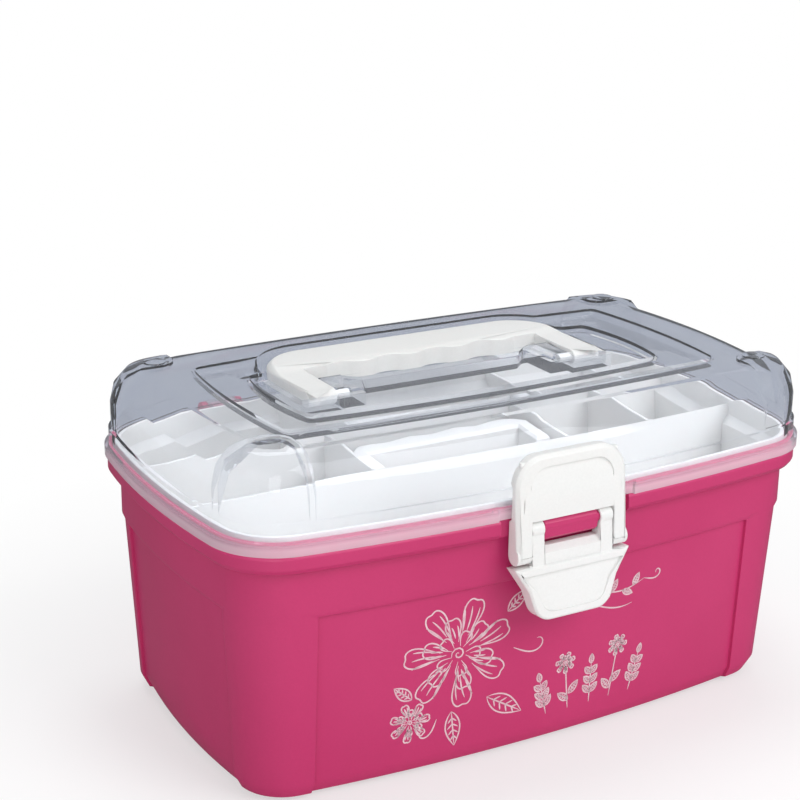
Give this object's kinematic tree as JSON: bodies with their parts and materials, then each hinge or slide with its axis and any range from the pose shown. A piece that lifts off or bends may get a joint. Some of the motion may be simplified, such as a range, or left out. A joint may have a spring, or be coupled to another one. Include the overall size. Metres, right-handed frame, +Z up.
{
  "type": "make-up case",
  "caption": "Bowed make-up case with a clear hinged lid, a folding carry handle, a lift-out tray and a toggle latch.",
  "frame": {"origin": "on the ground under the middle of the case", "axes": "+X along the case, -Y towards the front with the latch, +Z up"},
  "size_m": [0.3, 0.1965, 0.1566],
  "materials": {
    "tub_plastic": "smooth moulded pink plastic",
    "clear_plastic": "clear moulded plastic",
    "handle_plastic": "smooth moulded white plastic",
    "tray_plastic": "smooth moulded white plastic",
    "latch_plastic": "smooth moulded white plastic"
  },
  "bodies": {
    "tub_body": {"tub": "tub_plastic"},
    "lid_body": {"lid": "clear_plastic"},
    "handle_body": {"carry_handle": "handle_plastic"},
    "tray_body": {"tray": "tray_plastic"},
    "lever_body": {"latch_lever": "latch_plastic"},
    "bail_body": {"latch_bail": "latch_plastic"}
  },
  "joints": [
    {"name": "lid_hinge", "type": "hinge", "parent": "tub_body", "child": "lid_body", "pos_m": [0, 0.0949, 0.1166], "axis": [-1, 0, 0], "range_deg": [0, 100]},
    {"name": "handle_hinge", "type": "hinge", "parent": "lid_body", "child": "handle_body", "pos_m": [0, 0.0006, 0.148], "axis": [1, 0, 0], "range_deg": [0, 90]},
    {"name": "lever_hinge", "type": "hinge", "parent": "tub_body", "child": "lever_body", "pos_m": [0, -0.0904, 0.1102], "axis": [-1, 0, 0], "range_deg": [0, 90]},
    {"name": "bail_hinge", "type": "hinge", "parent": "lever_body", "child": "bail_body", "pos_m": [0, -0.09097, 0.0998], "axis": [-1, 0, 0], "range_deg": [-90, 0]},
    {"name": "tray_lift", "type": "slide", "parent": "tub_body", "child": "tray_body", "axis": [0, 0, 1], "range_m": [0, 0.006]}
  ],
  "couplings": [
    {"joint": "bail_hinge", "follows": "lever_hinge", "ratio": -1}
  ]
}
